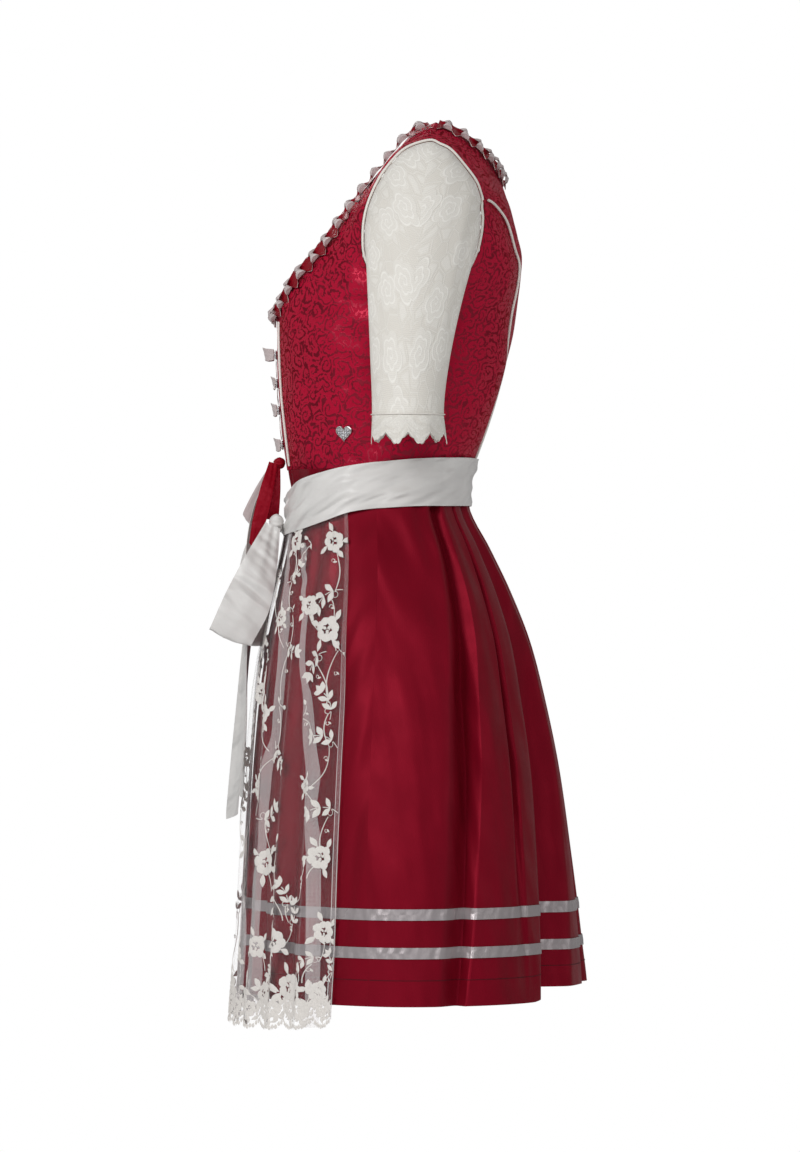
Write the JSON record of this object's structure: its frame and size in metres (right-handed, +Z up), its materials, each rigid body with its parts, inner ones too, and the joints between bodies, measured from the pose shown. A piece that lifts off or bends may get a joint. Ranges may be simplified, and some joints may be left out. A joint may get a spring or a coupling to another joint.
{
  "type": "dirndl dress",
  "caption": "Dirndl dress as worn: laced jacquard bodice with lace sleeves, pleated skirt, embroidered tulle apron and a tied satin sash.",
  "frame": {"origin": "middle of the line between the two shoulder seams, on the garment's plane of symmetry, where the wearer's shoulders or a hanger hold it up", "axes": "+Z up along the wearer, -Y towards the front of the garment, +X towards the wearer's left"},
  "size_m": [0.5718, 0.4191, 1.0027],
  "materials": {
    "jacquard": "satin-weave jacquard with a darker scroll figure, soft sheen",
    "crimson_satin": "plain satin weave, soft sheen",
    "cream_piping": "satin-covered cord",
    "lace": "matt floral lace on a fine net, partly see-through",
    "two_tone_ribbon": "satin ribbon, crimson face, silver-grey reverse, cream edges",
    "silver_ribbon": "silver-white satin ribbon with fine edges",
    "tulle": "see-through tulle with white corded embroidery",
    "white_satin": "off-white satin, soft sheen",
    "metal": "bright cast metal with small clear stones"
  },
  "bodies": {
    "root": {"bodice_front_centre_L": "jacquard", "bodice_front_centre_R": "jacquard", "bodice_front_L": "jacquard", "bodice_front_R": "jacquard", "bodice_side_back_L": "jacquard", "bodice_side_back_R": "jacquard", "bodice_back_L": "jacquard", "bodice_back_R": "jacquard", "piping_front_L": "cream_piping", "piping_front_R": "cream_piping", "piping_back_L": "cream_piping", "piping_back_R": "cream_piping", "piping_armhole_L": "cream_piping", "piping_armhole_R": "cream_piping", "sleeve_L": "lace", "sleeve_R": "lace", "sleeve_edging_L": "lace", "sleeve_edging_R": "lace", "ruching_front_L": "two_tone_ribbon", "ruching_front_R": "two_tone_ribbon", "ruching_back_L": "two_tone_ribbon", "ruching_back_R": "two_tone_ribbon", "skirt_front": "crimson_satin", "skirt_back_L": "crimson_satin", "skirt_back_R": "crimson_satin", "hem_ribbon_upper": "silver_ribbon", "hem_ribbon_lower": "silver_ribbon", "apron": "tulle", "sash_band": "white_satin", "sash_knot": "white_satin", "sash_loop_L": "white_satin", "sash_loop_R": "white_satin", "sash_tail_L": "white_satin", "sash_tail_R": "white_satin", "hook_1_L": "metal", "hook_1_R": "metal", "hook_2_L": "metal", "hook_2_R": "metal", "hook_3_L": "metal", "hook_3_R": "metal", "hook_4_L": "metal", "hook_4_R": "metal", "lacing_loop_1": "two_tone_ribbon", "lacing_loop_2": "two_tone_ribbon", "lacing_loop_3": "two_tone_ribbon", "lacing_loop_4": "two_tone_ribbon", "lacing_cross_1": "two_tone_ribbon", "lacing_cross_2": "two_tone_ribbon", "lacing_cross_3": "two_tone_ribbon", "lacing_knot": "two_tone_ribbon", "lacing_bow_loop_L": "two_tone_ribbon", "lacing_bow_loop_R": "two_tone_ribbon", "lacing_tail_L": "two_tone_ribbon", "lacing_tail_R": "two_tone_ribbon", "heart_badge": "metal"}
  },
  "joints": []
}
